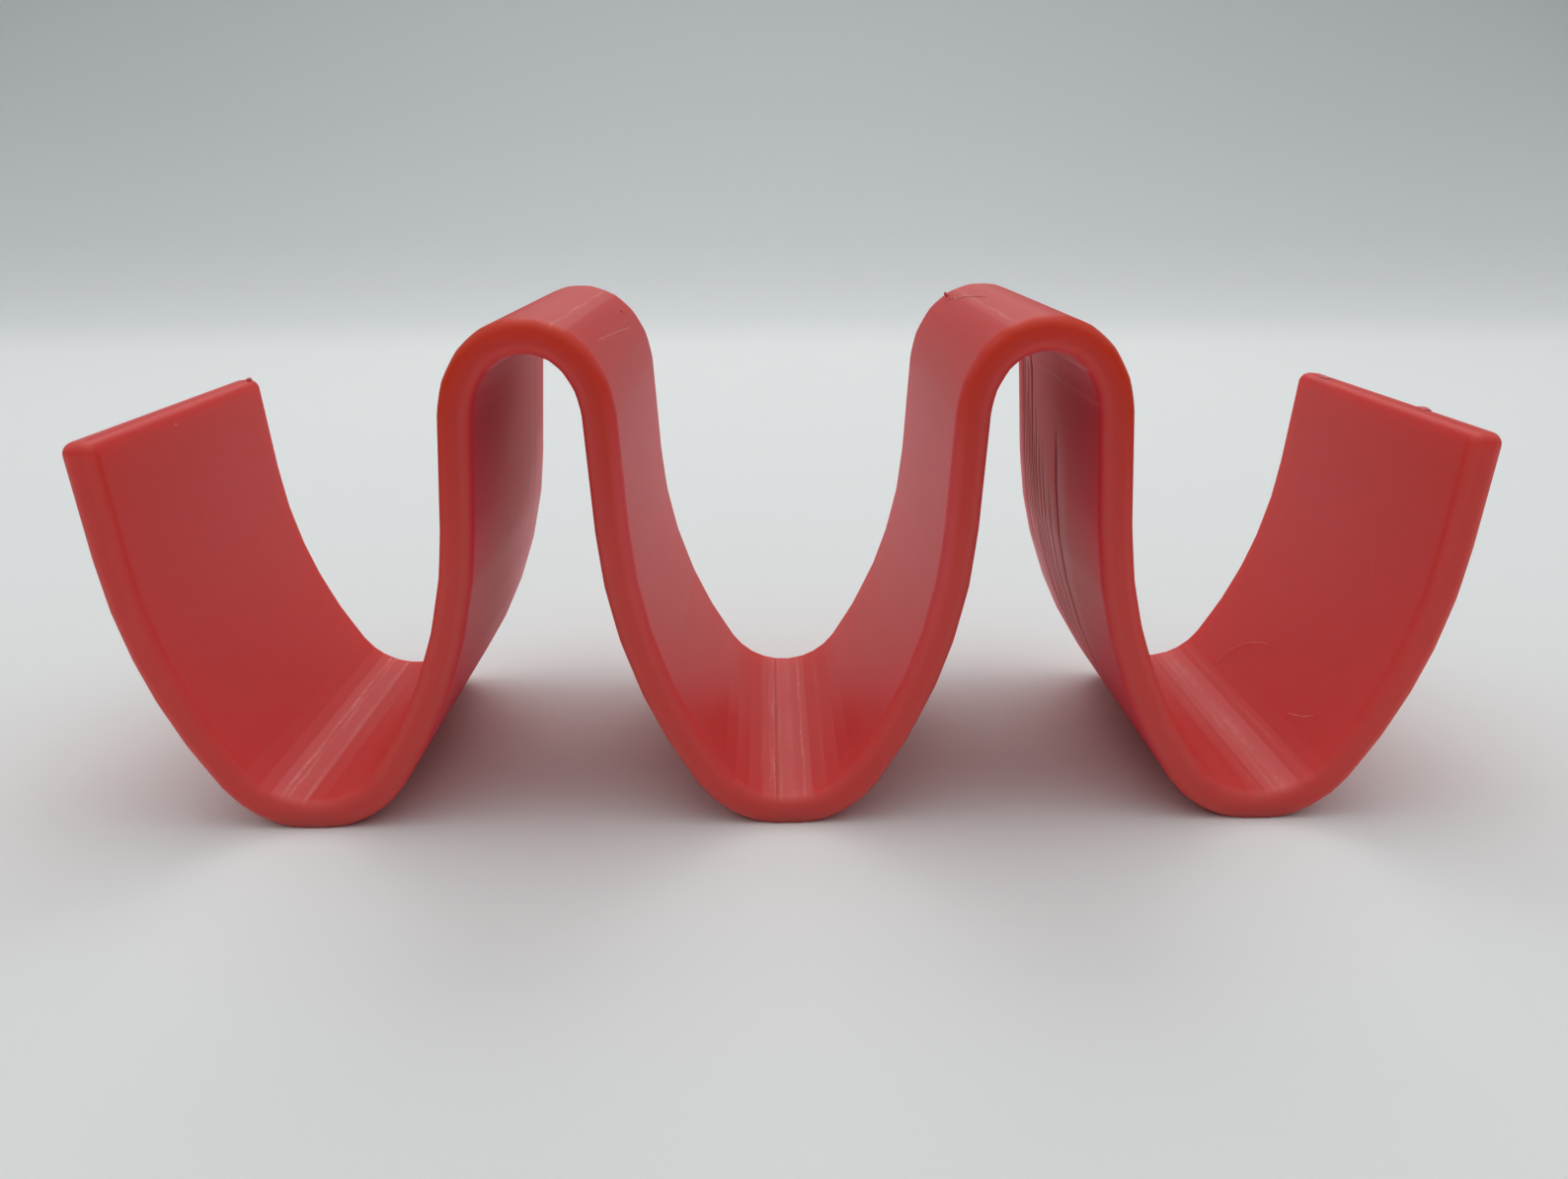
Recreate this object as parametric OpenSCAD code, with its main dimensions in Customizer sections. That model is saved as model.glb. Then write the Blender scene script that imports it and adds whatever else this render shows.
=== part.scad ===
// Taco holder: one strip of plastic that runs as a wave. A taco stands in each of its three troughs,
// two tall crests keep them apart, and a short arm closes either end.
// Frame: x runs along the wave, y from front to back, z up from the table; millimetres.
// From the lowest point of a trough to the top of a crest the strip has five stretches: a tight bend,
// a long flat bend, a straight, a wide shoulder bend back the other way and a tight crest bend.
// Each stretch carries the next one in its own frame, so they meet at the same point and slope.

/* [Overall] */
// distance from trough to trough, and from crest to crest
pitch = 70; // [66:1:76]
// height of the crests above the table
height = 74; // [68:1:86]
// size from front to back
depth = 60; // [30:5:120]
// height of the lips of the two arms above the table
lip_h = 58; // [46:1:72]

/* [Strip] */
// thickness of the strip
wall = 4.8; // [3.6:0.2:6]
// rounding of every edge of the strip
edge_r = 1.8; // [0.8:0.1:2.2]

/* [Troughs] */
// inner radius at the bottom of a trough, where the fold of a shell lies
trough_r = 11.4; // [9.6:0.2:13]
// angle taken by the tight bend, before the long bend begins
trough_turn = 55.5; // [48:0.5:60]
// steepest slope of the walls, measured from the table
slope = 86.5; // [82:0.5:89]
// width of the flat on the underside of each trough, on which the holder stands
foot_flat = 10; // [5:0.5:14]

/* [Crests] */
// inner radius under the top of a crest
crest_r = 6.4; // [5:0.2:8]
// angle taken by the crest bend, from its shoulder to its top
crest_turn = 52; // [42:1:62]
// inner radius of the shoulder bend
shoulder_r = 10.9; // [8:0.1:13]

/* [Arms] */
// slope of the straight end of an arm, measured from the table
arm_slope = 84; // [78:0.5:88]

/* [Hidden] */
$fn = 64;

red = [0.76, 0.20, 0.17];

// a bend is swept this many degrees too far, and then cut back on the plane where it ends
over = 3;

// Pure turns: a turn is nudged by a few tenths of a degree at most, to the nearest one whose sine
// and cosine, both rounded to millionths, have squares that still add up to one. Rounded so, it
// neither grows nor shrinks what it turns, and the stretches meet without even the finest step.
function miss(a) = abs(pow(round(cos(a) * 1e6), 2) + pow(round(sin(a) * 1e6), 2) - 1e12);
function pure(a, nudge = 0) = miss(a + nudge) < 2000 ? a + nudge
    : pure(a, nudge > 0 ? -nudge : 0.0001 - nudge);

trough_a = pure(trough_turn);
wall_a = pure(slope - trough_a);
shoulder_a = pure(trough_a + wall_a - crest_turn);
arm_a = pure(arm_slope - trough_a);

// slopes reached at the end of the long bend, where the crest bend begins, and on the arm
steep = trough_a + wall_a;
crest_a = steep - shoulder_a;
arm_steep = trough_a + arm_a;

// the rounding leaves a flat of at least a twelfth of the wall on the strip's narrow sides
edge = min(edge_r, wall * 5 / 12);

// radii of the strip's middle line
trough_m = trough_r + wall / 2;
crest_m = crest_r + wall / 2;
shoulder_m = shoulder_r + wall / 2;

// what the flat takes off the round underside of a trough
foot_cut = trough_r + wall - sqrt(pow(trough_r + wall, 2) - pow(foot_flat / 2, 2));

// how far the long bend and the straight have to reach, along x and up z, for the crest to land
// half a pitch from the trough and at its height
run_left = pitch / 2 - trough_m * sin(trough_a)
    - shoulder_m * (sin(steep) - sin(crest_a)) - crest_m * sin(crest_a);
rise_left = height - wall + foot_cut - trough_m * (1 - cos(trough_a))
    - shoulder_m * (cos(crest_a) - cos(steep)) - crest_m * (1 - cos(crest_a));

// the long bend has the radius wall_m and the straight is straight_l long: two unknowns from the
// two reaches
bend_run = sin(steep) - sin(trough_a);
bend_rise = cos(trough_a) - cos(steep);
both = bend_run * sin(steep) - bend_rise * cos(steep);
wall_m = (run_left * sin(steep) - rise_left * cos(steep)) / both;
straight_l = (bend_run * rise_left - bend_rise * run_left) / both;

// the highest point of an arm's rounded end lies this far above the end of its middle line
lip_top = edge * (1 - sin(arm_steep)) + (wall / 2 - edge) * cos(arm_steep);
// length of the straight end that brings it to lip_h
arm_l = (lip_h - lip_top - wall / 2 + foot_cut - trough_m * (1 - cos(trough_a))
    - wall_m * (cos(trough_a) - cos(arm_steep))) / sin(arm_steep);

// Cross-section of the strip: its thickness along x, the holder's depth along y, four round edges.
module section() {
    square([wall, depth - 2 * edge], center = true);
    square([wall - 2 * edge, depth], center = true);
    for (sx = [-1, 1], sy = [-1, 1])
        translate([sx * (wall / 2 - edge), sy * (depth / 2 - edge)]) circle(edge);
}

// The strip starting at the origin and bending away from +y towards -x, with the centre of the
// bend at x = -r.
module sweep(r, turn) {
    translate([-r, 0, 0]) rotate_extrude(angle = turn) translate([r, 0]) section();
}

// A bent stretch that carries its children on its far end. It turns towards -x where side is 1 and
// towards +x where side is -1.
module bend(side, r, turn) {
    mirror([side > 0 ? 0 : 1, 0, 0]) difference() {
        sweep(r, turn + over);
        translate([-r, 0, 0]) rotate([0, 0, turn]) translate([r - 2 * wall, 0, -depth])
            cube([4 * wall, 4 * wall, 2 * depth]);
    }
    translate([-side * r, 0, 0]) rotate([0, 0, side * turn]) translate([side * r, 0, 0]) children();
}

// A straight stretch that carries its children on its far end.
module straight(l) {
    rotate([-90, 0, 0]) linear_extrude(l) section();
    translate([0, l, 0]) children();
}

// Stands the strip up: what ran towards +y now runs towards +x, what lay towards -x is on top, and
// the plane of the feet is z = 0.
module standing() {
    translate([0, 0, wall / 2 - foot_cut]) rotate([90, 0, 0]) rotate([0, 0, -90]) children();
}

// From the lowest point of a trough, at x = 0, to the top of a crest. The crest bend is left long
// and is cut on the crest's own plane, where the next half wave begins.
module half_wave() {
    difference() {
        standing()
            bend(1, trough_m, trough_a)
            bend(1, wall_m, wall_a)
            straight(straight_l)
            bend(-1, shoulder_m, shoulder_a)
            mirror([1, 0, 0]) sweep(crest_m, crest_a + over);
        translate([pitch / 2, -depth, 0]) cube([4 * wall, 2 * depth, 2 * height]);
    }
}

// A quarter of a disc as round as the strip's edges.
module quarter_disc() {
    intersection() {
        circle(edge);
        square(edge);
    }
}

// The rounded end of the strip: a flat plate, a quarter round along each of its four sides and a
// ball's eighth on each corner, which meet on whole faces.
module rounded_end() {
    half_w = wall / 2 - edge;
    half_d = depth / 2 - edge;
    translate([-half_w, 0, -half_d]) cube([2 * half_w, edge, 2 * half_d]);
    for (s = [0, 1]) {
        mirror([s, 0, 0]) translate([half_w, 0, -half_d]) linear_extrude(2 * half_d) quarter_disc();
        mirror([0, 0, s]) translate([-half_w, 0, half_d]) rotate([90, 0, 90])
            linear_extrude(2 * half_w) quarter_disc();
        for (t = [0, 1])
            mirror([s, 0, 0]) mirror([0, 0, t]) translate([half_w, 0, half_d])
                rotate_extrude(angle = 90) quarter_disc();
    }
}

// An arm, from the lowest point of an outer trough, taken at x = 0, out to its lip.
module arm() {
    standing()
        bend(1, trough_m, trough_a)
        bend(1, wall_m, arm_a)
        straight(arm_l - edge)
        rounded_end();
}

// The whole strip, both ways from the middle trough, with its three feet cut flat.
module taco_holder() {
    color(red) difference() {
        for (s = [0, 1]) mirror([s, 0, 0]) {
            half_wave();
            translate([pitch, 0, 0]) {
                mirror([1, 0, 0]) half_wave();
                arm();
            }
        }
        translate([-2 * pitch, -depth, -wall]) cube([4 * pitch, 2 * depth, wall]);
    }
}

taco_holder();
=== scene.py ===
import bmesh
import bpy
import numpy as np
from mathutils import Matrix, Vector


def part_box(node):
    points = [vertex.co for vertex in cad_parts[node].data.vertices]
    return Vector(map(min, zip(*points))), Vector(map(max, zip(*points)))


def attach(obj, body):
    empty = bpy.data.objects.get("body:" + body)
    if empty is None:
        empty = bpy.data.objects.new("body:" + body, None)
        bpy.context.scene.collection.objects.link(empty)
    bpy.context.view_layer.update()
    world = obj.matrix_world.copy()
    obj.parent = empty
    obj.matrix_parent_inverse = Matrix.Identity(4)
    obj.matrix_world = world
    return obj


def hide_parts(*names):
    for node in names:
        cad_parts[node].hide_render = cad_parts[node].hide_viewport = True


# %% [markdown]
# # A wave-shaped taco holder
#
# The object is one strip of red plastic, bent into three troughs and two crests, that came off a
# desktop printer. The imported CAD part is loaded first: it fixes the size and the place of
# everything, in metres, with x along the wave, y from front to back and z up from the table. The
# scene then draws the same strip again with the traces that the printer left on it.

# %% Load the frame
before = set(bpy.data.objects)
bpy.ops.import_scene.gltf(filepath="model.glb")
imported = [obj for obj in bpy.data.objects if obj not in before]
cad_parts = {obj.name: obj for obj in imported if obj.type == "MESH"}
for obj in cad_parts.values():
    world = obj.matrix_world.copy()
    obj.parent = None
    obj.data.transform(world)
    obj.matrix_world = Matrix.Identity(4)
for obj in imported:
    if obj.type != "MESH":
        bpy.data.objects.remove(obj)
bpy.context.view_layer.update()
cad_lo, cad_hi = (np.array(corner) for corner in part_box("taco_holder"))
MM = 0.001
print("CAD box in mm:", np.round((cad_hi - cad_lo) / MM, 2))

# %% [markdown]
# ## Camera
#
# The photo was taken from close by with a wide lens, a little above the crests and looking down,
# so the far edges of the strip look clearly smaller than the near ones. Only a camera at the true
# distance gives that, so its place and lens are written as real values.

# %% Camera
IMAGE_W, IMAGE_H = 1588, 1194
FOCAL_PX = 1275.3
SENSOR_MM = 36
CAMERA_AHEAD = 167.6 * MM
CAMERA_HEIGHT = 90.2 * MM
CAMERA_SIDE = -0.5 * MM
LOOK_DOWN, TURN, ROLL = 0.3096, 0.0127, 0.0046

camera_data = bpy.data.cameras.new("camera")
camera_data.sensor_width = SENSOR_MM
camera_data.lens = FOCAL_PX * SENSOR_MM / IMAGE_W
camera_data.clip_start = 0.01
camera = bpy.data.objects.new("camera", camera_data)
bpy.context.scene.collection.objects.link(camera)
front_centre = Matrix.Translation((0, cad_lo[1], 0))
camera.matrix_world = (
    front_centre
    @ Matrix.Rotation(-TURN, 4, "Z")
    @ Matrix.Translation((CAMERA_SIDE, -CAMERA_AHEAD, CAMERA_HEIGHT))
    @ Matrix.Rotation(np.pi / 2 - LOOK_DOWN, 4, "X")
    @ Matrix.Rotation(-ROLL, 4, "Z")
)
bpy.context.scene.camera = camera
print("lens", round(camera_data.lens, 1), "mm, camera at", [round(v, 3) for v in camera.location])

# %% [markdown]
# ## The path of the strip
#
# Seen from the front, the middle of the strip runs along arcs and straights that meet at the same
# slope. From the lowest point of a trough it goes through a tight bend, a long flat bend and a
# straight, and then through the shoulder and the crest bend back the other way. Two of the
# lengths follow from the others, because the crest has to land half a pitch away and at its
# height.

# %% Sizes of the strip, in millimetres and degrees
PITCH, HEIGHT, LIP_H = 70.0, 74.0, 58.0
WALL, DEPTH, EDGE_R = 4.8, (cad_hi[1] - cad_lo[1]) / MM, 1.8
TROUGH_M, CREST_M, SHOULDER_M = 13.8, 8.8, 13.3
FOOT_FLAT = 10.0
TROUGH_TURN, STEEP, CREST_TURN, ARM_STEEP = np.radians([55.4745, 86.4701, 52.0455, 84.0387])

outer_r = TROUGH_M + WALL / 2
foot_cut = outer_r - np.sqrt(outer_r**2 - (FOOT_FLAT / 2) ** 2)
reach = np.array([
    PITCH / 2 - TROUGH_M * np.sin(TROUGH_TURN)
    - SHOULDER_M * (np.sin(STEEP) - np.sin(CREST_TURN)) - CREST_M * np.sin(CREST_TURN),
    HEIGHT - WALL + foot_cut - TROUGH_M * (1 - np.cos(TROUGH_TURN))
    - SHOULDER_M * (np.cos(CREST_TURN) - np.cos(STEEP)) - CREST_M * (1 - np.cos(CREST_TURN)),
])
per_unit = np.array([
    [np.sin(STEEP) - np.sin(TROUGH_TURN), np.cos(STEEP)],
    [np.cos(TROUGH_TURN) - np.cos(STEEP), np.sin(STEEP)],
])
WALL_M, STRAIGHT = np.linalg.solve(per_unit, reach)
lip_top = EDGE_R * (1 - np.sin(ARM_STEEP)) + (WALL / 2 - EDGE_R) * np.cos(ARM_STEEP)
ARM_STRAIGHT = (
    LIP_H - lip_top - WALL / 2 + foot_cut - TROUGH_M * (1 - np.cos(TROUGH_TURN))
    - WALL_M * (np.cos(TROUGH_TURN) - np.cos(ARM_STEEP))
) / np.sin(ARM_STEEP) - EDGE_R
print("long bend", round(WALL_M, 2), "straight", round(STRAIGHT, 2), "arm", round(ARM_STRAIGHT, 2))

# %% [markdown]
# ## The middle line
#
# Every stretch is an arc or a straight, so one table of lengths and curvatures holds the whole
# wave from the left lip to the right one. The strip could also be drawn as a curve object with
# handles, but arcs give the same slopes as the CAD part to the last digit.

# %% Stretches from lip to lip
# (length, curvature towards the upper side, width of the printed flats, how flat they stayed)
TROUGH = (2 * TROUGH_M * TROUGH_TURN, 1 / TROUGH_M, 3.0, 0.75)
CREST = (2 * CREST_M * CREST_TURN, -1 / CREST_M, 3.2, 0.35)
RISE = [
    (WALL_M * (STEEP - TROUGH_TURN), 1 / WALL_M, 8.0, 0.75),
    (STRAIGHT, 0.0, 8.0, 0.75),
    (SHOULDER_M * (STEEP - CREST_TURN), -1 / SHOULDER_M, 4.0, 0.35),
]
ARM = [(WALL_M * (ARM_STEEP - TROUGH_TURN), 1 / WALL_M, 8.0, 0.75), (ARM_STRAIGHT, 0.0, 8.0, 0.75)]
wave_table = np.array(ARM[::-1] + [TROUGH] + RISE + [CREST] + RISE[::-1] + [TROUGH]
                      + RISE + [CREST] + RISE[::-1] + [TROUGH] + ARM)
lengths, bends, flats, flatness = wave_table.T
STRIP_L = lengths.sum()
begin = np.concatenate([[0], np.cumsum(lengths)[:-1]]) - STRIP_L / 2
slope = -ARM_STEEP + np.concatenate([[0], np.cumsum(lengths * bends)[:-1]])


def chord(length, bend, slope):
    """From one end of an arc to the other: the length times sin(h) / h, at the slope plus h.

    Here h is half the angle that the arc turns through, so a straight is an arc with h = 0.
    """
    h = length * bend / 2
    return (length * np.sinc(h / np.pi))[:, None] * np.stack([np.cos(slope + h), np.sin(slope + h)], 1)


origin = np.concatenate([[[0, 0]], np.cumsum(chord(lengths, bends, slope), 0)[:-1]])


def wave(s):
    """Points (x, z) and normals of the middle line at distances s from the middle of the strip."""
    i = np.clip(np.searchsorted(begin, s, "right") - 1, 0, len(begin) - 1)
    left = s - begin[i]
    end = slope[i] + bends[i] * left
    return origin[i] + chord(left, bends[i], slope[i]), np.stack([-np.sin(end), np.cos(end)], 1)


origin += [0, WALL / 2 - foot_cut] - wave(np.zeros(1))[0]
ends = wave(np.array([-1, 1]) * STRIP_L / 2)[0]
print("strip", round(STRIP_L, 1), "mm long, ends at", np.round(ends, 2).tolist())

# %% [markdown]
# ## Printed flats
#
# The printer ran each bend as a row of short straight moves, so the curves are really long narrow
# flats that run from front to back: 3 mm wide in the troughs, 8 mm on the walls. Each takes the
# light a little differently from the next. The melt rounded their corners, so the surface lies
# between the true arc and the chord of each flat.

# %% Stations along the strip
# places of the stations within a flat, and how unequal the flats are, as shares of their length
IN_A_FLAT = np.array([0, 0.06, 0.3, 0.7, 0.94])
UNEQUAL = 0.1
rng = np.random.default_rng(7)
corners = [np.array([-STRIP_L / 2])]
for start, length, flat in zip(begin, lengths, flats):
    count = max(1, round(length / flat))
    inner = np.arange(1, count) + rng.uniform(-UNEQUAL, UNEQUAL, count - 1)
    corners.append(start + np.append(inner, count) * length / count)
corners = np.concatenate(corners)
print(len(corners) - 1, "flats")

# %% [markdown]
# Where the print head slowed down at a corner, it left a thin ridge or a slit that runs from
# front to back, a little wavy and uneven. A painted highlight makes the plastic paler along a ridge,
# and painted shade makes it deeper in a slit. The clearest ones are given one by one, by their
# distance along the strip from its middle.

# %% Ridges and slits
# (distance along the strip, half width, height; all in mm, a slit is negative)
UPPER_SEAMS = [
    (-176.3, 0.30, 0.030), (-175.3, 0.25, 0.020), (-172.5, 0.30, 0.016), (-81.9, 0.18, 0.020),
    (-76.9, 0.20, 0.006), (-4.7, 0.40, 0.008), (-3.1, 0.20, 0.014), (-2.4, 0.22, 0.026),
    (-1.8, 0.30, -0.010), (-1.2, 0.25, 0.010), (0.8, 1.10, 0.006), (3.1, 0.24, 0.024),
    (7.2, 0.50, 0.006), (81.6, 0.18, 0.020), (84.6, 0.60, 0.006), (171.0, 0.50, 0.007),
    (173.8, 0.30, 0.012), (175.4, 1.00, 0.013), (179.5, 0.30, 0.009),
]
LOWER_SEAMS = [(-92.0, 0.60, 0.022), (93.2, 0.60, 0.022), (99.7, 0.30, 0.010)]
# a ridge this high has its full painted highlight, and a slit this deep its full painted shade
DEEPEST = 0.03
# stations across a seam, in half widths
ACROSS_A_SEAM = np.array([-2.6, -1.8, -1.2, -0.6, 0, 0.6, 1.2, 1.8, 2.6])
# size of each sine and the depth over which it turns by one radian, in mm; then the same for the
# height, as a share of it
WANDERS = [(0.10, 2.9), (0.06, 1.3)]
MEAN_HEIGHT, SWELL, SWELL_OVER = 0.75, 0.35, 4.1
PHASE_STEP = 2.4


def seam_height(s, deep, seams):
    """Sum of bells over (s, deep): height x exp(-((s - place - wander) / half width) squared).

    The wander and the height follow sines of the depth, each seam with a phase of its own.
    """
    place, width, height = np.array(seams).T
    phase = PHASE_STEP * np.arange(len(seams))
    wander = sum(size * np.sin(deep[:, None] / over + times * phase)
                 for times, (size, over) in enumerate(WANDERS, 1))
    swell = MEAN_HEIGHT + SWELL * np.sin(deep[:, None] / SWELL_OVER + 3 * phase)
    bell = np.exp(-(((s[:, None, None] - place - wander) / width) ** 2))
    return (height * swell * bell).sum(2)


seam_places = [place + width * ACROSS_A_SEAM for place, width, _ in UPPER_SEAMS + LOWER_SEAMS]
flat_numbers = np.arange(len(corners))
in_flats = np.interp(np.add.outer(flat_numbers[:-1], IN_A_FLAT).ravel(), flat_numbers, corners)
line_s = np.unique(np.round(np.concatenate([in_flats, corners[-1:], *seam_places]), 4))


def flattened(s):
    """Middle line and normals, pulled by the flatness towards the chord between the corners."""
    true = np.hstack(wave(s))
    at_corners = np.hstack(wave(corners))
    chords = np.stack([np.interp(s, corners, column) for column in at_corners.T], 1)
    pull = flatness[np.searchsorted(begin[1:], s, "right")] * (np.abs(s) < STRIP_L / 2)
    return np.split(true + pull[:, None] * (chords - true), 2, axis=1)


line, line_normal = flattened(line_s)
print(len(line_s), "stations along the strip")

# %% [markdown]
# Under the right crest some layers didn't quite join, and dark open grooves run along the strip
# between them. A bump in the material could only hint at them, so they are cut into the
# underside, which has columns of points where they lie. Painted shade darkens them as well.

# %% Grooves between layers
# distance from the front, half width and depth, then where along the strip the groove lies
GROOVES = [
    (28.0, 0.22, 0.20, 108, 152), (34.0, 0.18, 0.10, 118, 150), (38.2, 0.18, 0.16, 114, 146),
    (41.0, 0.20, 0.20, 112, 150), (43.6, 0.18, 0.18, 106, 136), (45.0, 0.18, 0.18, 112, 150),
    (46.6, 0.24, 0.36, 88, 152), (48.2, 0.18, 0.24, 108, 146), (49.6, 0.20, 0.26, 100, 130),
    (51.0, 0.18, 0.22, 104, 142), (52.3, 0.18, 0.24, 98, 128), (53.8, 0.22, 0.34, 86, 136),
    (44.0, 0.20, 0.008, -150, -100), (50.0, 0.22, 0.016, -150, -92),
]
# how far along the strip a groove takes to reach its depth, and its columns, in half widths
GROOVE_RAMP = 6
ACROSS_A_GROOVE = np.array([-2, -0.8, 0, 0.8, 2])


def groove_depth(s, deep, grooves):
    """Sum of bells over the depth, each times a window that ramps up and down along the strip."""
    place, width, depth, start, end = np.array(grooves).T
    bell = depth * np.exp(-(((deep[:, None] + DEPTH / 2 - place) / width) ** 2))
    window = np.clip(np.minimum(s[:, None] - start, end - s[:, None]) / GROOVE_RAMP, 0, 1)
    return window @ bell.T


print(len(GROOVES), "grooves")

# %% [markdown]
# ## The strip itself
#
# Across its path the strip is a rectangle, 4.8 mm thick and as deep as the holder, with its four
# corners rounded. Each point of that outline is a core point plus the rounding radius times an
# outward direction. At the lips the radius shrinks as the cosine of an angle while the ring moves
# on by its sine, and that rounds the ends over as well. The three feet are the undersides of the
# troughs, which are cut flat where they would go below the table.

# %% Outline across the strip
CORNER_STEPS = 7
UPPER_COLUMNS, LOWER_COLUMNS = 17, 7
# the outermost columns lie this far inside the rounding, so that it keeps its own shading
GUARD = 0.25
half_w, half_d = WALL / 2 - EDGE_R, DEPTH / 2 - EDGE_R


def outline():
    """Core points and outward directions once round the section, as (thickness, depth) pairs."""
    turn = np.linspace(0, np.pi / 2, CORNER_STEPS + 1)
    inside = (np.linspace(-half_d, half_d, n)[1:-1] for n in (UPPER_COLUMNS, LOWER_COLUMNS))
    upper, lower = (np.concatenate([[-half_d + GUARD], columns, [half_d - GUARD]]) for columns in inside)
    at_grooves = [place - DEPTH / 2 + width * ACROSS_A_GROOVE for place, width, *_ in GROOVES]
    lower = np.unique(np.round(np.concatenate([lower, *at_grooves]), 3))
    core, out = [], []
    for k, (sa, sb) in enumerate([(1, 1), (-1, 1), (-1, -1), (1, -1)]):
        angle = turn + k * np.pi / 2
        core.append(np.tile([sa * half_w, sb * half_d], (len(turn), 1)))
        out.append(np.stack([np.cos(angle), np.sin(angle)], 1))
        if k % 2:
            columns = lower[::-1] if k == 1 else upper
            core.append(np.stack([np.full(len(columns), -half_w if k == 1 else half_w), columns], 1))
            out.append(np.tile([-1 if k == 1 else 1, 0], (len(columns), 1)))
        else:
            core.append([[0, sb * half_d]])
            out.append([[0, sb]])
    return np.vstack(core), np.vstack(out).astype(float)


core, out = outline()
print(len(core), "points round the section")

# %% [markdown]
# The red isn't the same everywhere. On the crests light goes into the upper edges and they glow
# orange. The front and back faces, and their edges, get a painted sheen that makes them a little
# paler than the wide sides. Under the crests a painted purple sheen lies over the red. Along the
# strip a painted sheen makes it paler in some stretches, such as the walls of the middle trough,
# and painted shade makes it deeper in others, such as most of the front under the crests; the back
# under the crests gets the palest painted light. Each of these is a smooth value over the strip,
# stored on its points, and the material mixes its colours by them.

# %% Where the plastic glows and where it's pale or deep
# heights over which the glow of the crests grows, and the distance from the middle where it ends
GLOW_FROM, GLOW_FULL, ARM_FROM = 38.0, 67.0, 185.0
# through the wall, the glow begins this far below the middle line and is full this much higher
GLOW_BELOW, GLOW_WIDTH = 1.4, 3.2
# how much painted sheen the front and back faces get, how much more their edges, and the share of it that
# crests lose
FACE_SHEEN, EDGE_SHEEN, LOST_ON_CRESTS = 0.6, 1.2, 0.5
# the tone is 0 for plain red, 1 for a pale painted sheen, 2 for the palest painted light and -1
# for deep painted shade; each row gives a distance from the middle, the tone there above at the
# front and the back, and below likewise
SHEEN_AND_SHADE_TABLE = [
    (4, 0, 0, 0, 0), (11, 0.35, 0, 0, 0), (20, 0.3, 0, 0, 0), (45, 0.8, 1, -0.5, 0),
    (62, 0.9, 1, -0.8, 0), (80, 0, 0, -1, 0), (104, 0, 0, -1, 0.9), (116, 0, 0, -0.4, 1.6),
    (128, 0, 0, 1, 1.8), (140, 0, 0, 0, 1.8), (152, 0, 0, -0.9, 1), (165, 0.35, 0, 0, 0), (173, 0, 0, 0, 0),
    (182, 0.35, 0, 0, 0), (208, 0.3, 0, 0, 0), (230, 0, 0, 0, 0),
]
# the front's tone goes over to the back's by this power of the depth
TOWARDS_BACK = 1.5
# distances from the middle between which the underside gets a painted purple sheen and loses it again
UNDER_SHEEN_PLACES, UNDER_SHEEN = [45, 80, 150, 165], [0, 1, 1, 0]
# how rough the skin is at these tones
TONES, ROUGHNESS = [-1, 0, 1, 2], [0.55, 0.45, 0.45, 0.30]
print(len(SHEEN_AND_SHADE_TABLE), "places with a tone")

# %% Sweep the outline along the path
LIP_STEPS = 8
# powers that keep the seams and the tone of the underside off the rounded edges
SEAM_OFF_EDGE, TONE_OFF_EDGE = 4, 8


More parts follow.
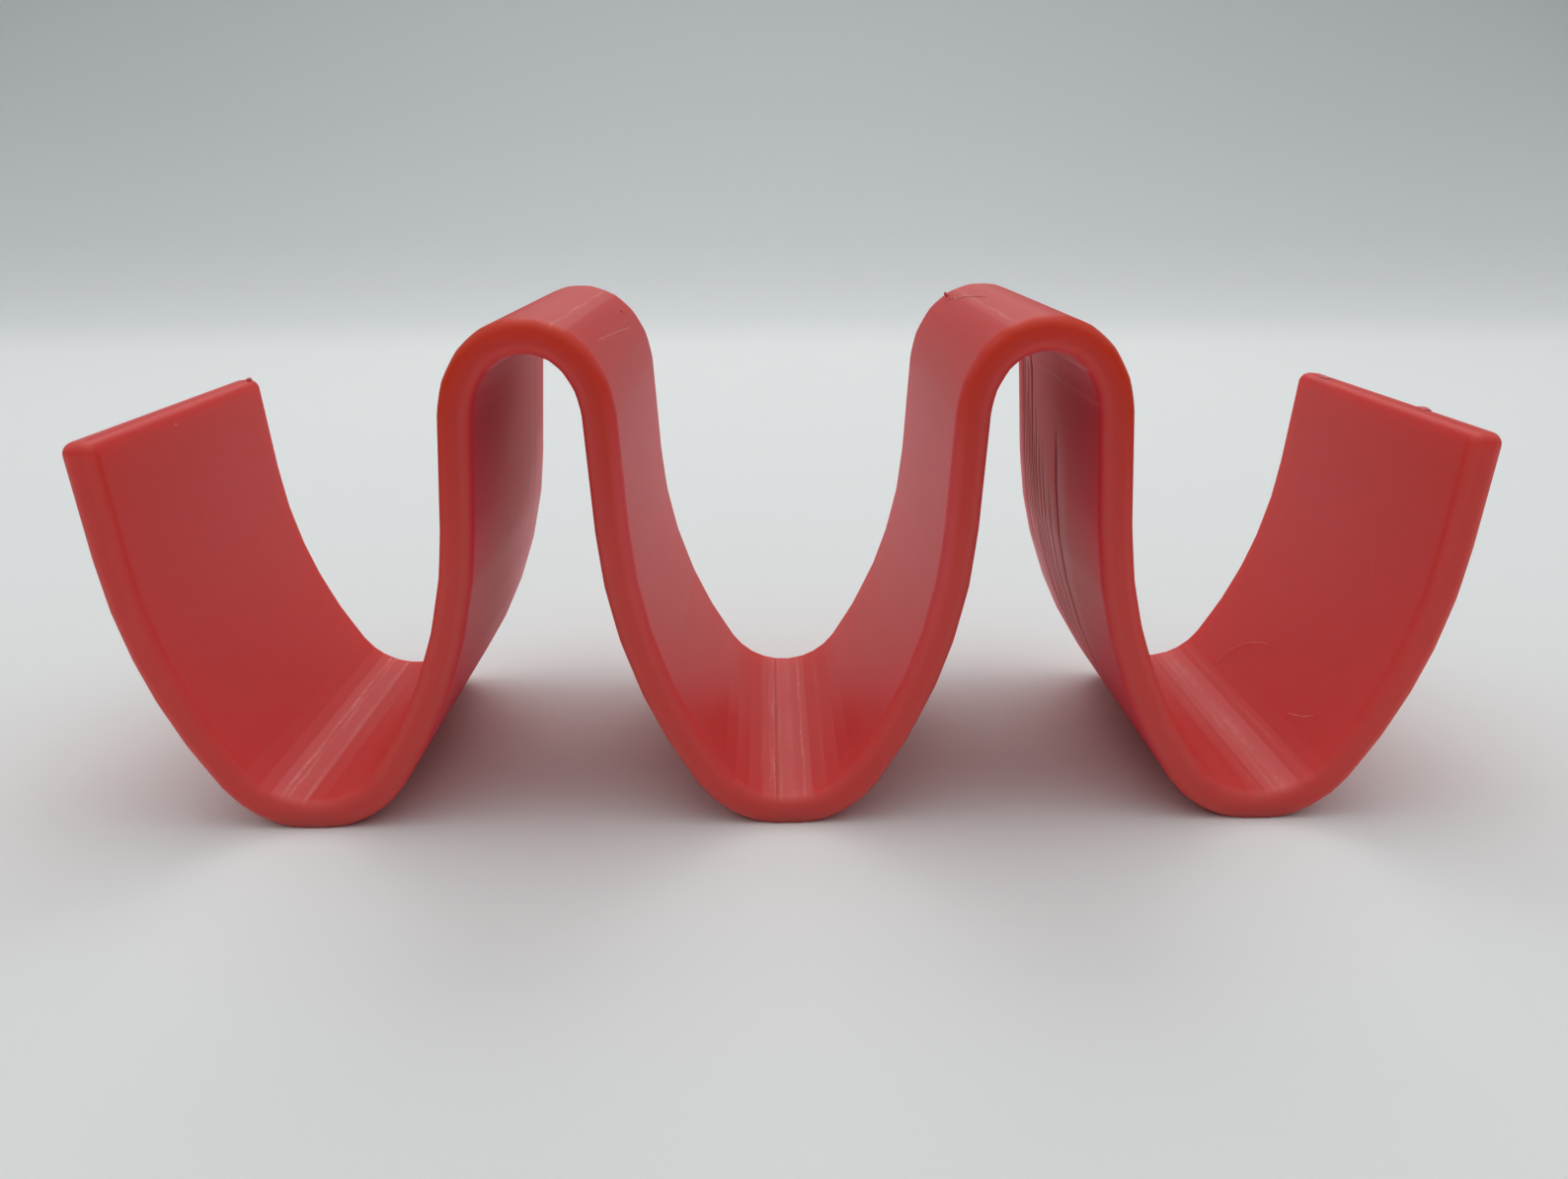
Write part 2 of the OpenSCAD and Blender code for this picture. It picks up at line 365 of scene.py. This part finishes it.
def sweep():
    """Grid of points: path point + normal x thickness part + y x depth part, lips included.

    With it go the place on the strip and six values: the seam height, the glow of the upper edge,
    which grows with its height on the crests, the painted sheen of the front and back faces and their
    other edges, how far a point lies under a crest for its painted purple sheen, the tone of painted
    sheen and shade and, from it, the roughness.
    """
    tangent = np.stack([line_normal[:, 1], -line_normal[:, 0]], 1)
    turn = np.linspace(0, np.pi / 2, LIP_STEPS + 1)[1:]
    onward, shrunk = EDGE_R * np.sin(turn), EDGE_R * np.cos(turn)
    p = np.vstack([line[0] - tangent[0] * onward[::-1, None], line,
                   line[-1] + tangent[-1] * onward[:, None]])
    n = np.vstack([np.tile(line_normal[0], (LIP_STEPS, 1)), line_normal,
                   np.tile(line_normal[-1], (LIP_STEPS, 1))])
    s = np.concatenate([line_s[0] - onward[::-1], line_s, line_s[-1] + onward])
    radius = np.concatenate([shrunk[::-1], np.full(len(line), EDGE_R), shrunk])
    up, down = np.clip(out[:, 0], 0, 1), np.clip(-out[:, 0], 0, 1)
    lower_seam = seam_height(s, core[:, 1], LOWER_SEAMS) - groove_depth(s, core[:, 1], GROOVES)
    upper_seam = seam_height(s, core[:, 1], UPPER_SEAMS)
    seam = upper_seam * up**SEAM_OFF_EDGE + lower_seam * down**SEAM_OFF_EDGE
    thick = core[:, 0] + radius[:, None] * out[:, 0] + seam * np.sign(out[:, 0])
    deep = core[:, 1] + radius[:, None] * out[:, 1]
    grid = np.stack([p[:, :1] + n[:, :1] * thick, deep, p[:, 1:] + n[:, 1:] * thick], 2)
    grid[:, :, 2] = np.maximum(grid[:, :, 2], 0)  # the flat feet
    place = np.stack([np.broadcast_to(s[:, None], thick.shape), deep, thick], 2)
    from_middle = np.abs(s)
    on_crest = (np.clip((p[:, 1:] - GLOW_FROM) / (GLOW_FULL - GLOW_FROM), 0, 1)
                * (from_middle[:, None] < ARM_FROM))
    front = np.broadcast_to(np.abs(out[:, 1]), thick.shape)
    glow = np.sqrt(front) * np.clip((thick + GLOW_BELOW) / GLOW_WIDTH, 0, 1) * on_crest
    # painted sheen on the front and back faces and their edges, less of it on the crests
    pale = (FACE_SHEEN * front + EDGE_SHEEN * np.abs(out[:, 0]) * front) * (1 - LOST_ON_CRESTS * on_crest)
    at, *tones = np.array(SHEEN_AND_SHADE_TABLE).T
    front_above, back_above, front_below, back_below = (
        np.interp(from_middle, at, values)[:, None] for values in tones)
    towards_back = (core[:, 1] / DEPTH + 0.5) ** TOWARDS_BACK
    below = down**TONE_OFF_EDGE
    # the tone: painted sheen and light where it is above 0, painted shade where it is below 0
    tone = ((front_above + towards_back * (back_above - front_above)) * up
            + (front_below + towards_back * (back_below - front_below)) * below)
    # how far the painted purple sheen under the crests reaches
    under = np.interp(from_middle, UNDER_SHEEN_PLACES, UNDER_SHEEN)[:, None] * below
    return (grid * MM, place * MM, np.clip(seam / DEEPEST, -1, 1), glow, np.clip(pale - glow, 0, 1),
            under, tone, np.interp(tone, TONES, ROUGHNESS))


def grid_faces(rows, columns):
    """Quads between neighbouring rows, closed round the columns, as vertex numbers."""
    i, j = np.meshgrid(np.arange(rows - 1) * columns, np.arange(columns), indexing="ij")
    k = (j + 1) % columns
    return np.stack([i + j, i + columns + j, i + columns + k, i + k], 2).reshape(-1, 4)


def mesh_object(name, points, faces):
    """A mesh object at the origin, smooth shaded, that rides on the one body."""
    mesh = bpy.data.meshes.new(name)
    mesh.from_pydata(points.reshape(-1, 3), [], faces)
    mesh.shade_smooth()
    obj = bpy.data.objects.new(name, mesh)
    bpy.context.scene.collection.objects.link(obj)
    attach(obj, "root")
    return obj


def put(mesh, name, kind, values):
    """Stores one value per vertex as a named attribute that the material can read."""
    layer = mesh.attributes.new(name, kind, "POINT")
    field = "vector" if kind == "FLOAT_VECTOR" else "value"
    layer.data.foreach_set(field, values.astype(np.float32).ravel())


VALUES = ["seam", "glow", "pale", "under", "tone", "rough"]
points, place, *per_point = sweep()
strip = mesh_object("printed_strip", points, grid_faces(*points.shape[:2]).tolist())
put(strip.data, "along", "FLOAT_VECTOR", place)
for name, values in zip(VALUES, per_point):
    put(strip.data, name, "FLOAT", values)
print(len(strip.data.vertices), "points on the strip")

# %% [markdown]
# The layers lie one behind the other from front to back, so the surface is finely grooved along
# the wave. A UV map tells the shader which way that is: u runs across the layers, v along them.

# %% Close the ends and map the layers
# the map is this many metres wide, and points closer than the other length are merged
MAP_WIDTH, MERGE_WITHIN = 0.5, 0.001 * MM


def close_and_map(obj):
    """Merge the points that meet at the lips, fill the end flats, face outwards, add the UV map."""
    bm = bmesh.new()
    bm.from_mesh(obj.data)
    bmesh.ops.remove_doubles(bm, verts=bm.verts, dist=MERGE_WITHIN)
    bmesh.ops.holes_fill(bm, edges=[e for e in bm.edges if e.is_boundary])
    bmesh.ops.recalc_face_normals(bm, faces=bm.faces)
    bm.to_mesh(obj.data)
    bm.free()
    mesh = obj.data
    mesh.shade_smooth()
    where = np.empty(3 * len(mesh.vertices), np.float32)
    mesh.attributes["along"].data.foreach_get("vector", where)
    corner = np.empty(len(mesh.loops), np.int32)
    mesh.loops.foreach_get("vertex_index", corner)
    layers = mesh.uv_layers.new(name="across_layers")
    across_and_along = where.reshape(-1, 3)[corner][:, [1, 0]]
    layers.uv.foreach_set("vector", (across_and_along / MAP_WIDTH + 0.5).ravel())


close_and_map(strip)
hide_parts("taco_holder")
print(len(strip.data.polygons), "faces on the strip")

# %% [markdown]
# ## The plastic
#
# This is PLA, the usual plastic of desktop printers, in plain red. It was laid down molten in thin
# layers, one behind the other from the front face to the back one. The skin is satin, and the fine
# grooves between the layers stretch its highlights across them. A little light goes into it, so
# thin edges glow orange while the walls stay a deep red.

# %% Helpers for colours and nodes


def linear(hex_colour):
    """An sRGB hex colour as linear RGBA."""
    v = np.array([int(hex_colour[i:i + 2], 16) for i in (1, 3, 5)]) / 255
    v = np.where(v <= 0.04045, v / 12.92, ((v + 0.055) / 1.055) ** 2.4)
    return (*v, 1.0)


def add(tree, kind, settings=None, inputs=None, links=None):
    """Adds a node, sets its properties and inputs, and links sockets to its inputs by name."""
    node = tree.nodes.new(kind)
    for key, value in (settings or {}).items():
        setattr(node, key, value)
    for key, value in (inputs or {}).items():
        node.inputs[key].default_value = value
    for key, socket in (links or {}).items():
        tree.links.new(socket, node.inputs[key])
    return node


def new_material(name):
    """A new material and its node tree, still empty."""
    material = bpy.data.materials.new(name)
    material.use_nodes = True
    material.node_tree.nodes.clear()
    return material, material.node_tree


# %% Values and grain of the red PLA
# size in mm (along the strip, across the layers, through the wall), detail, roughness and strength
# of the bump; the real layers are 0.2 mm thick, too fine for the picture, so they are drawn coarser
GRAINS = {
    "layers": ((45, 0.8, 5), 2, 0.6, 0.6),
    "blobs": ((0.9, 1.1, 5), 1, 0.5, 0.15),
}
BUMP_DEPTH = 0.03 * MM

pla, tree = new_material("red_pla_printed_in_layers")
along = add(tree, "ShaderNodeAttribute", {"attribute_name": "along"}).outputs["Vector"]
seam_at, glow_at, face_sheen_at, under_sheen_at, sheen_and_shade_at, rough_at = (
    add(tree, "ShaderNodeAttribute", {"attribute_name": name}).outputs["Fac"] for name in VALUES)
grain, bumped = {}, {}
for name, (size, detail, roughness, strength) in GRAINS.items():
    scaled = add(tree, "ShaderNodeMapping", inputs={"Scale": [1 / (v * MM) for v in size]},
                 links={"Vector": along})
    grain[name] = add(tree, "ShaderNodeTexNoise",
                      inputs={"Scale": 1.0, "Detail": detail, "Roughness": roughness},
                      links={"Vector": scaled.outputs["Vector"]}).outputs["Fac"]
    bump = add(tree, "ShaderNodeBump", inputs={"Strength": strength, "Distance": BUMP_DEPTH},
               links={"Height": grain[name], **bumped})
    bumped = {"Normal": bump.outputs["Normal"]}
print(len(VALUES), "values on the strip,", len(GRAINS), "grains")

# %% Colours of the red PLA
# each colour is mixed over those before it, as far as its value goes
PLAIN_RED = "#D33731"
SLIT_SHADE = 0.8
deep_shade = add(tree, "ShaderNodeMath", {"operation": "MULTIPLY"}, {1: -1.0}, {0: sheen_and_shade_at})
palest_light = add(tree, "ShaderNodeMath", {"operation": "SUBTRACT"}, {1: 1.0}, {0: sheen_and_shade_at})
in_slit = add(tree, "ShaderNodeMath", {"operation": "MULTIPLY"}, {1: -SLIT_SHADE}, {0: seam_at})
ridge_highlight = add(tree, "ShaderNodeMath", {"operation": "MULTIPLY"}, links={0: seam_at, 1: grain["blobs"]})
COLOURS = [
    ("#D03A0E", glow_at),  # orange, where light comes through the upper edges of the crests
    ("#D84E48", face_sheen_at),  # painted sheen on the front and back faces and their edges
    ("#E42E48", under_sheen_at),  # painted purple sheen under the crests
    ("#DE5A60", sheen_and_shade_at),  # painted sheen on the pale stretches
    ("#CE283E", deep_shade.outputs[0]),  # painted shade on the deep stretches
    ("#F87888", palest_light.outputs[0]),  # painted light on the palest stretches, at the back under the crests
    ("#5E1218", in_slit.outputs[0]),  # shade inside slits and grooves
    ("#F0958C", ridge_highlight.outputs[0]),  # painted highlight on ridges, strings and nubs, blotched by the grain
]
mixed = {}
for hex_colour, share in COLOURS:
    mix = add(tree, "ShaderNodeMix", {"data_type": "RGBA"},
              {"A": linear(PLAIN_RED), "B": linear(hex_colour)}, {"Factor": share, **mixed})
    mixed = {"A": mix.outputs["Result"]}
print(len(COLOURS), "colours over the plain red")

# %% Skin of the red PLA
# red light goes furthest into the plastic, up to a centimetre, green a fifth and blue a tenth of it
across = add(tree, "ShaderNodeTangent", {"direction_type": "UV_MAP", "uv_map": "across_layers"})
skin = add(tree, "ShaderNodeBsdfPrincipled", inputs={
    "IOR": 1.46, "Anisotropic": 0.6,
    "Subsurface Weight": 0.8, "Subsurface Radius": (1.0, 0.20, 0.10), "Subsurface Scale": 10 * MM,
}, links={"Base Color": mixed["A"], "Normal": bumped["Normal"], "Roughness": rough_at,
          "Tangent": across.outputs["Tangent"]})
add(tree, "ShaderNodeOutputMaterial", links={"Surface": skin.outputs["BSDF"]})
strip.data.materials.append(pla)
print(len(tree.nodes), "nodes in", pla.name)

# %% [markdown]
# ## Strings and nubs
#
# The nozzle drew thin strings of melt over the part and left small nubs where it stopped. They
# are real plastic that lies on the strip, so each is a thin tube or a small lump, placed by its
# distance along the strip from the middle and its distance from the front.

# %% Melt on the skin
# light that went into so small a drop would be lost in the strip under it, so drops scatter none
melt = pla.copy()
melt.name = "red_pla_drops_and_strings"
melt.node_tree.nodes[skin.name].inputs["Subsurface Weight"].default_value = 0.0
print(melt.name, "is", pla.name, "without light inside")

# %% Places on the upper side


def on_strip(s, y, lift):
    """Points middle line + normal x (half the wall + lift) at y from the front, and the normals."""
    p, n = flattened(s)
    p = p + n * (WALL / 2 + lift)[:, None]
    return np.stack([p[:, 0], y - DEPTH / 2, p[:, 1]], 1), np.stack([n[:, 0], 0 * s, n[:, 1]], 1)


def flaw(name, points, s, painted_highlight):
    """The mesh of a flaw with the attributes that the plastic reads; at 1 its painted highlight is as pale
    as a ridge's.
    """
    obj = mesh_object(name, points * MM, grid_faces(*points.shape[:2]).tolist())
    off_ring = points - points.mean(1, keepdims=True)
    where = np.stack([s[:, None] + off_ring[..., 0], points[..., 1], off_ring[..., 2]], 2)
    put(obj.data, "along", "FLOAT_VECTOR", where * MM)
    put(obj.data, "seam", "FLOAT", np.full(points.shape[:2], painted_highlight))
    put(obj.data, "rough", "FLOAT", np.full(points.shape[:2], ROUGHNESS[1]))
    close_and_map(obj)
    obj.data.materials.append(melt)


# %% Strings
RINGS, SIDES = 25, 8
# the higher the taper, the blunter the ends; strings get a paler painted highlight than nubs
TAPER, STRING_HIGHLIGHT = 6, 2
# name, then start, middle and end as (along the strip, from the front, lift), then the radius
STRINGS = [
    ("string_in_right_trough", (181, 44.5, 0.1), (188.5, 44.5, 0.6), (191.5, 33.5, 0.1), 0.07),
    ("burr_in_right_trough", (185.2, 16.5, 0), (186.0, 12.5, 0.03), (187.9, 10.4, 0), 0.09),
    ("burr_in_middle_trough", (18.7, 25, 0), (20.4, 21.5, 0), (23.1, 17, 0), 0.06),
    ("burr_on_left_crest", (-77.5, 10, -0.03), (-76.8, 28, -0.02), (-75.7, 45, -0.03), 0.07),
    ("long_string_on_right_crest", (80.3, 47.5, 0.03), (81.8, 42, 0.12), (83.0, 34.9, 0.03), 0.10),
    ("short_string_on_right_crest", (79.2, 52.0, 0.03), (80.8, 50, 0.12), (80.2, 46, 0.03), 0.10),
    ("curled_string_on_right_crest", (82.3, 47.0, 0.03), (80.6, 44.5, 0.12), (82.0, 40.0, 0.03), 0.09),
]


def string(name, start, middle, end, radius):
    """A tube round a curve: centre + r x (cos a x up + sin a x side).

    The centre goes from start to end and is drawn towards the middle point by 2t(1 - t). The
    radius r falls to nothing at both ends, as the square root of 1 - (2t - 1)^taper.
    """
    t = np.linspace(0, 1, RINGS)[:, None]
    s, y, lift = ((1 - t) ** 2 * start + 2 * t * (1 - t) * middle + t**2 * end).T
    centre, normal = on_strip(s, y, lift)
    forward = np.gradient(centre, axis=0)
    side = np.cross(forward, normal)
    side /= np.linalg.norm(side, axis=1, keepdims=True)
    up = np.cross(side, forward)
    up /= np.linalg.norm(up, axis=1, keepdims=True)
    r = radius * np.sqrt(np.clip(1 - (2 * t - 1) ** TAPER, 0, 1))[:, None]
    a = np.linspace(0, 2 * np.pi, SIDES, endpoint=False)[None, :, None]
    points = centre[:, None] + r * (np.cos(a) * up[:, None] + np.sin(a) * side[:, None])
    flaw(name, points, s, STRING_HIGHLIGHT)


for name, start, middle, end, radius in STRINGS:
    string(name, np.array(start), np.array(middle), np.array(end), radius)
print(len(STRINGS), "strings")

# %% Nubs
# rings from pole to pole, points round each, how lumpy a nub is and how pale its painted highlight is
LAT, LON = 9, 12
LUMPY, NUB_HIGHLIGHT = 0.15, 1
LIP_S = STRIP_L / 2 + EDGE_R
# name, then (along the strip, from the front, lift) and half sizes (along, from the front, high)
NUBS = [
    ("nub_on_right_crest", (80.0, 55.2, 0.1), (0.35, 0.35, 0.75)),
    ("nub_on_left_crest", (-78.2, 47.2, 0), (0.40, 0.45, 0.30)),
    ("crumb_on_left_crest", (-81.2, 16.7, 0), (0.15, 0.20, 0.12)),
    ("crumb_in_middle_trough", (-2.8, 22.3, 0), (0.12, 0.25, 0.10)),
    ("crumb_in_right_trough", (202.4, 27.5, 0), (0.12, 0.25, 0.10)),
    ("crumb_on_right_arm", (212.3, 16.7, 0), (0.10, 0.20, 0.10)),
    ("nub_on_left_arm", (-234.8, 24.7, 0), (0.15, 0.60, 0.08)),
    ("nub_on_left_lip", (-LIP_S, 57.2, -0.9), (0.40, 0.45, 0.50)),
    ("nub_on_right_lip", (LIP_S, 52.0, -1.9), (0.18, 1.60, 0.80)),
    ("blob_on_right_lip", (LIP_S, 20.0, -3.0), (0.35, 1.70, 0.70)),
    ("crumb_on_right_lip", (LIP_S - 1.8, 49.0, 0), (0.30, 0.15, 0.12)),
]


def nub(name, place, size):
    """A lumpy ball: place + size x unit sphere x (1 + lumpy x sin(3u + 1) sin(4v))."""
    u = np.linspace(0, 2 * np.pi, LON, endpoint=False)[None, :, None]
    v = np.linspace(0, np.pi, LAT)[:, None, None]
    swollen = 1 + LUMPY * np.sin(3 * u + 1) * np.sin(4 * v)
    s, y, lift = (np.full(LAT, value) for value in place)
    centre, normal = (value[0] for value in on_strip(s, y, lift))
    forward, back = np.array([normal[2], 0, -normal[0]]), np.array([0, 1, 0])
    ball = (size[0] * np.sin(v) * np.cos(u) * forward + size[1] * np.sin(v) * np.sin(u) * back
            + size[2] * np.cos(v) * normal)
    flaw(name, centre + swollen * ball, s, NUB_HIGHLIGHT)


for name, place_on_strip, half_sizes in NUBS:
    nub(name, place_on_strip, half_sizes)
print(len(NUBS), "nubs")

# %% [markdown]
# ## Floor, backdrop and light
#
# The holder stands on white card that sweeps up behind it, under a wide soft light, so the light
# comes from everywhere and only the narrow spaces under the crests turn dark. The card is a
# profile of floor, bend and backdrop drawn out sideways, and it lies a hair below the feet.

# %% Card sweep
FLOOR_FRONT, FLOOR_BACK, BACKDROP_TOP, BACKDROP_HALF = -1.2, 0.55, 1.4, 2.2
SWEEP_R, BELOW_FEET = 0.35, 0.02 * MM
angle = np.linspace(0, np.pi / 2, 25)
card = np.concatenate([
    [[FLOOR_FRONT, 0.0]],
    np.stack([FLOOR_BACK + SWEEP_R * np.sin(angle), SWEEP_R * (1 - np.cos(angle))], 1),
    [[FLOOR_BACK + SWEEP_R, BACKDROP_TOP]],
])
card_points = np.stack([
    np.tile([-BACKDROP_HALF, BACKDROP_HALF], len(card)),
    np.repeat(card[:, 0], 2),
    np.repeat(card[:, 1], 2) - BELOW_FEET,
], 1)
row = np.arange(len(card) - 1)
card_faces = np.stack([2 * row, 2 * row + 1, 2 * row + 3, 2 * row + 2], 1)
card_mesh = bpy.data.meshes.new("card")
card_mesh.from_pydata(card_points, [], card_faces.tolist())
card_mesh.shade_smooth()
backdrop = bpy.data.objects.new("card", card_mesh)
bpy.context.scene.collection.objects.link(backdrop)
print("card of", len(card_faces), "strips")

# %% White card
# the backdrop is painted a little greyer and cooler higher up, as painted shade where the card
# turns upright and gets less light, until this height in metres, at these shares of it
CARD_DARK_AT = 0.14
CARD_SHADE_TONES = [(0.0, "#F1F2F0"), (0.07, "#E5E7E6"), (0.2, "#DEE0E0"), (0.4, "#D8DBDC"),
              (0.7, "#D7DADB"), (1.0, "#D6D9DA")]
white_card, tree = new_material("white_card")
rise = add(tree, "ShaderNodeSeparateXYZ", links={0: add(tree, "ShaderNodeTexCoord").outputs["Object"]})
up_the_card = add(tree, "ShaderNodeMapRange", inputs={"From Min": 0.0, "From Max": CARD_DARK_AT},
                  links={"Value": rise.outputs["Z"]})
shaded_card = add(tree, "ShaderNodeValToRGB", links={"Fac": up_the_card.outputs["Result"]})
stops = shaded_card.color_ramp.elements
for place_on_ramp, _ in CARD_SHADE_TONES[1:-1]:
    stops.new(place_on_ramp)
for stop, (_, colour) in zip(stops, CARD_SHADE_TONES):
    stop.color = linear(colour)
paper = add(tree, "ShaderNodeBsdfPrincipled", inputs={
    "Roughness": 0.9, "Specular IOR Level": 0.2}, links={"Base Color": shaded_card.outputs["Color"]})
add(tree, "ShaderNodeOutputMaterial", links={"Surface": paper.outputs["BSDF"]})
card_mesh.materials.append(white_card)
print(len(CARD_SHADE_TONES), "tones on the card")

# %% [markdown]
# Four soft boxes light the holder: a wide one on the ceiling, one behind it that brings out the
# satin of the walls, and two small ones behind it at the sides, which reach in under the crests.

# %% Light
# name, place, aim, size in metres and power in watts
SOFT_BOXES = [
    ("ceiling_light", (0.0, 0.1, 1.1), (0, 0, 0), 1.0, 1.6),
    ("back_light", (0.0, 0.7, 0.8), (0, 0, 0), 0.6, 2.0),
    ("left_light", (-0.8, 0.6, 0.35), (0, 0, 0.03), 0.4, 0.25),
    ("right_light", (0.8, 0.6, 0.35), (0, 0, 0.03), 0.4, 0.25),
]


def soft_box(name, place, aim, size, power):
    """A square area light at place that faces aim."""
    light = bpy.data.lights.new(name, "AREA")
    light.shape = "SQUARE"
    light.size = size
    light.energy = power
    obj = bpy.data.objects.new(name, light)
    bpy.context.scene.collection.objects.link(obj)
    turned = (Vector(aim) - Vector(place)).to_track_quat("-Z", "Y")
    obj.matrix_world = Matrix.Translation(place) @ turned.to_matrix().to_4x4()


for name, place, aim, size, power in SOFT_BOXES:
    soft_box(name, place, aim, size, power)
print(len(SOFT_BOXES), "soft boxes")

# %% [markdown]
# Above the soft boxes the white ceiling of the room is brightest overhead. It falls off towards
# the horizon, where the room is dark, and towards the front and the back. The world background
# is painted that way by direction.

# %% Ceiling of the room
# shares of straight up between which the ceiling goes from dim to bright, and how bright both are
DIM_AT, BRIGHT_AT, DIM, BRIGHT = 0.2, 0.7, 0.05, 1.0
# share of straight ahead or back where the fall-off ends, and what is left of the light there
FALLEN_AT, LEFT_THERE = 0.6, 0.55
world = bpy.data.worlds.new("room")
bpy.context.scene.world = world
world.use_nodes = True
tree = world.node_tree
tree.nodes.clear()
towards = add(tree, "ShaderNodeTexCoord").outputs["Generated"]
direction = add(tree, "ShaderNodeSeparateXYZ", links={0: towards})
height = add(tree, "ShaderNodeMapRange", {"interpolation_type": "SMOOTHSTEP"},
             {"From Min": DIM_AT, "From Max": BRIGHT_AT, "To Min": DIM, "To Max": BRIGHT},
             {"Value": direction.outputs["Z"]})
to_and_fro = add(tree, "ShaderNodeMath", {"operation": "ABSOLUTE"}, links={0: direction.outputs["Y"]})
fall_off = add(tree, "ShaderNodeMapRange", {"interpolation_type": "SMOOTHSTEP"},
               {"From Min": 0.0, "From Max": FALLEN_AT, "To Min": 1.0, "To Max": LEFT_THERE},
               {"Value": to_and_fro.outputs[0]})
brightness = add(tree, "ShaderNodeMath", {"operation": "MULTIPLY"},
                 links={0: height.outputs["Result"], 1: fall_off.outputs["Result"]})
sky = add(tree, "ShaderNodeBackground", inputs={"Color": linear("#F8FCFF")},
          links={"Strength": brightness.outputs[0]})
add(tree, "ShaderNodeOutputWorld", links={"Surface": sky.outputs["Background"]})
bpy.context.scene.view_settings.view_transform = "Standard"
print("ceiling from", DIM, "to", BRIGHT)
